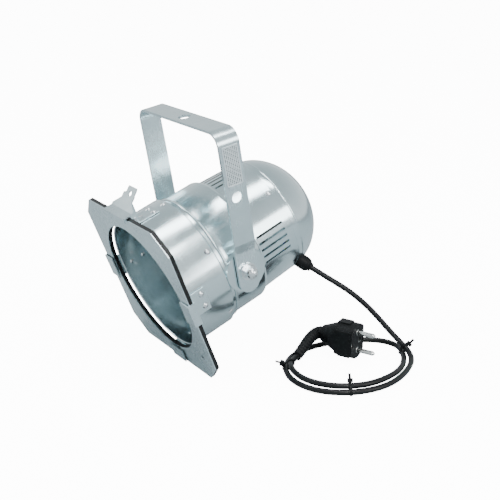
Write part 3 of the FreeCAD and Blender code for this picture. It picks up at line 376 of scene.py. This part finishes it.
# the latch spring's turns, wound close on the pin: a helix across the can
COIL_TURNS = 6
COIL_STEPS = 20
COIL_RADIUS = 2.25
COIL_WIDTH = 5.6
coil_curve = bpy.data.curves.new("spring_turns", "CURVE")
coil_curve.dimensions = "3D"
turns = coil_curve.splines.new("POLY")
turns.points.add(COIL_TURNS * COIL_STEPS)
for i, point in enumerate(turns.points):
    around = math.tau * i / COIL_STEPS
    across = COIL_WIDTH * (i / (COIL_TURNS * COIL_STEPS) - 0.5)
    point.co = (*can_point(across, 11.3 + COIL_RADIUS * math.cos(around),
                           78.0 + COIL_RADIUS * math.sin(around)), 1.0)
coil_curve.bevel_depth = 0.42 * MM
coil_curve.bevel_resolution = 2
coil_curve.materials.append(MATERIALS["steel"])
link(bpy.data.objects.new("spring_turns", coil_curve), "can")

# the label's raised border and rows of blank marks
OUT = YOKE_TURN.to_3x3() @ Vector((1, 0, 0))
ACROSS = YOKE_TURN.to_3x3() @ Vector((0, 1, 0))
ALONG = YOKE_TURN.to_3x3() @ Vector((0, 0, 1))
LABEL_AXES = (OUT, ACROSS, ALONG)
LABEL_FACE = 75.9


def on_label(w, u):
    return yoke_point(LABEL_FACE, w, u)


border = [(on_label(0, u), LABEL_AXES, (0.12, 8.4, 0.35)) for u in (89.3, 126.5)]
border += [(on_label(w, 107.9), LABEL_AXES, (0.12, 0.35, 18.9)) for w in (-8.0, 8.0)]
boxes("label_border", border, "yoke", "label")
marks = []
for row in range(22):
    for column in range(8):
        centre = on_label(-6.65 + 1.9 * column, 91.0 + 1.62 * row)
        length = 0.42 + 0.22 * math.sin(2.3 * row + 1.9 * column)
        marks.append((centre, LABEL_AXES, (0.09, 0.45, length)))
boxes("label_marks", marks, "yoke", "marks")

# grip pads above and below the plug's head, and cover plates at its two sides
plug_out = Vector((35.7, 15.9, 0.0)).normalized()
plug_side = Vector((-plug_out.y, plug_out.x, 0.0))
UP = Vector((0, 0, 1))
PLUG_AXES = (plug_out, plug_side, UP)
plug_face = from_pivot(112.3, 105.8, -84.6)
pads = [(plug_face + (UP * lift - plug_out * 13.5) * MM, PLUG_AXES, (6.6, 5.0, 0.9))
        for lift in (18.2, -18.2)]
pads += [(plug_face + (plug_side * away - plug_out * 2.3) * MM, PLUG_AXES, (2.3, 0.35, 4.2))
         for away in (13.6, -13.6)]
grips = boxes("plug_grips", pads, "can", "moulding")


# ---------------------------------------------------------------- ties round the two strands
def cord_places():
    """The cord's centre line, as the curve itself runs: each route point pulls one parabola."""
    spots = [Vector(place) for place in route]
    places = []
    for i in range(1, len(spots) - 1):
        start = spots[0] if i == 1 else (spots[i - 1] + spots[i]) / 2
        end = spots[-1] if i == len(spots) - 2 else (spots[i] + spots[i + 1]) / 2
        for step in range(12):
            t = step / 12
            places.append(start * (1 - t) ** 2 + spots[i] * 2 * t * (1 - t) + end * t * t)
    return places


PLACES = cord_places()
TIE_INSIDE = 2.95
TIE_OUTSIDE = 3.85
TIE_HALF_WIDTH = 1.3
TIE_STEPS = 32


def strand_pair(spot):
    """The cord's centres on its first and second pass beside a spot, and its direction there."""
    half = len(PLACES) // 2 + 20
    picks = []
    for low, high in ((0, half), (half, len(PLACES) - 1)):
        picks.append(min(range(low, high), key=lambda i: (PLACES[i] - spot).length))
    first, second = (PLACES[i] for i in picks)
    return first, second, (PLACES[picks[0] + 1] - first).normalized()


def tie(name, spot, head_way, stub_way):
    """A narrow strap drawn round both strands, its square head and its cut end."""
    first, second, along = strand_pair(Vector(spot))
    link_way = second - first
    link_way -= along * link_way.dot(along)
    gap = link_way.length / 2
    link_way.normalize()
    lift = along.cross(link_way)
    middle = (first + second) / 2
    middle -= along * (middle - first).dot(along)
    corners, faces = [], []
    section = [(TIE_INSIDE, -TIE_HALF_WIDTH), (TIE_INSIDE, TIE_HALF_WIDTH),
               (TIE_OUTSIDE, TIE_HALF_WIDTH), (TIE_OUTSIDE, -TIE_HALF_WIDTH)]
    for i in range(TIE_STEPS):
        angle = math.tau * i / TIE_STEPS
        sign = 1 if math.cos(angle) > 0 else -1
        for reach, wide in section:
            offset = link_way * (sign * gap + reach * math.cos(angle))
            offset += lift * reach * math.sin(angle)
            corners.append(from_pivot(*(middle + offset + along * wide)))
        after = (i + 1) % TIE_STEPS
        for k in range(4):
            faces.append((4 * i + k, 4 * after + k, 4 * after + (k + 1) % 4, 4 * i + (k + 1) % 4))
    band = solid_mesh(name + "_band", corners, faces, "can", "nylon", smooth=True)
    head_way = Vector(head_way)
    head_way -= along * head_way.dot(along)
    head_way.normalize()
    turned = along.cross(head_way)
    reach = 3.9 + gap * abs(head_way.dot(link_way))
    head_at = from_pivot(*(middle + head_way * (reach + 1.4)))
    stub_way = Vector(stub_way).normalized()
    stub_side = along.cross(stub_way).normalized()
    stub_at = head_at + stub_way * 4.0 * MM
    lump = boxes(name + "_head", [(head_at, (head_way, turned, along), (1.9, 2.4, 2.3)),
                                  (stub_at, (stub_way, stub_side, along), (2.6, 0.55, 1.2))],
                 "can", "nylon")
    return [band, lump]


ties = []
ties += tie("tie_right", (128.0, 154.5, -99.5), (0.2, 0.9, 0.8), (0.3, 0.9, 0.9))
ties += tie("tie_near", (166.0, 54.0, -99.7), (-0.4, 0.2, 1.0), (-0.5, 0.2, 1.0))
ties += tie("tie_left", (93.0, 34.0, -99.7), (-0.6, -0.6, 0.25), (-0.7, -0.7, 0.2))
for word in ("right", "near", "left"):
    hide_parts("cord_tie_" + word)

# ---------------------------------------------------------------- floor and light
# the floor looks plain white, and is a mid grey to the light and to the metal's reflections
FLOOR_HALF = 12.0
floor_mesh = bpy.data.meshes.new("floor")
floor_corners = [(-FLOOR_HALF, -FLOOR_HALF, FLOOR), (FLOOR_HALF, -FLOOR_HALF, FLOOR),
                 (FLOOR_HALF, FLOOR_HALF, FLOOR), (-FLOOR_HALF, FLOOR_HALF, FLOOR)]
floor_mesh.from_pydata(floor_corners, [], [(0, 1, 2, 3)])
floor = bpy.data.objects.new("floor", floor_mesh)
bpy.context.scene.collection.objects.link(floor)
floor_material, floor_tree, floor_shader = new_material("white_floor")
floor_shader.inputs["Base Color"].default_value = (0.92, 0.92, 0.92, 1)
floor_shader.inputs["Roughness"].default_value = 0.8
floor_shader.inputs["Specular IOR Level"].default_value = 0.0
floor_shader.inputs["Emission Color"].default_value = (1, 1, 1, 1)
floor_shader.inputs["Emission Strength"].default_value = 12.0
grey_floor = floor_tree.nodes.new("ShaderNodeBsdfDiffuse")
grey_floor.inputs["Color"].default_value = (0.42, 0.46, 0.48, 1)
seen = floor_tree.nodes.new("ShaderNodeLightPath")
choice = floor_tree.nodes.new("ShaderNodeMixShader")
floor_tree.links.new(seen.outputs["Is Camera Ray"], choice.inputs[0])
floor_tree.links.new(grey_floor.outputs[0], choice.inputs[1])
floor_tree.links.new(floor_shader.outputs[0], choice.inputs[2])
floor_tree.links.new(choice.outputs[0], floor_tree.nodes["Material Output"].inputs["Surface"])
floor_mesh.materials.append(floor_material)

world = bpy.data.worlds.new("studio")
world.use_nodes = True
bpy.context.scene.world = world
sky = world.node_tree.nodes["Background"]
sky.inputs["Strength"].default_value = 1.0
heading = world.node_tree.nodes.new("ShaderNodeTexCoord")
ramp = world.node_tree.nodes.new("ShaderNodeValToRGB")
split = world.node_tree.nodes.new("ShaderNodeSeparateXYZ")
world.node_tree.links.new(heading.outputs["Generated"], split.inputs["Vector"])
world.node_tree.links.new(split.outputs["Z"], ramp.inputs["Fac"])
world.node_tree.links.new(ramp.outputs["Color"], sky.inputs["Color"])
ramp.color_ramp.elements[0].position = 0.0
ramp.color_ramp.elements[0].color = (1.15, 1.2, 1.22, 1)
ramp.color_ramp.elements[1].position = 1.0
ramp.color_ramp.elements[1].color = (0.56, 0.64, 0.67, 1)


def softbox(name, place, target, width, height, watts):
    light_data = bpy.data.lights.new(name, "AREA")
    light_data.shape = "RECTANGLE"
    light_data.size = width
    light_data.size_y = height
    light_data.energy = watts
    light = bpy.data.objects.new(name, light_data)
    bpy.context.scene.collection.objects.link(light)
    light.location = place
    light.rotation_euler = (Vector(target) - Vector(place)).to_track_quat("-Z", "Y").to_euler()


softbox("key", (1.4, -0.3, 1.3), (0, 0, -0.15), 0.25, 1.2, 22)
softbox("side", (1.9, 0.9, 0.6), (0, 0, -0.1), 0.9, 0.7, 14)
softbox("top", (0.1, 0.1, 1.7), (0, 0, -0.15), 0.4, 1.4, 18)
softbox("left", (-1.2, -1.5, 0.9), (0, 0, -0.15), 0.6, 1.2, 12)
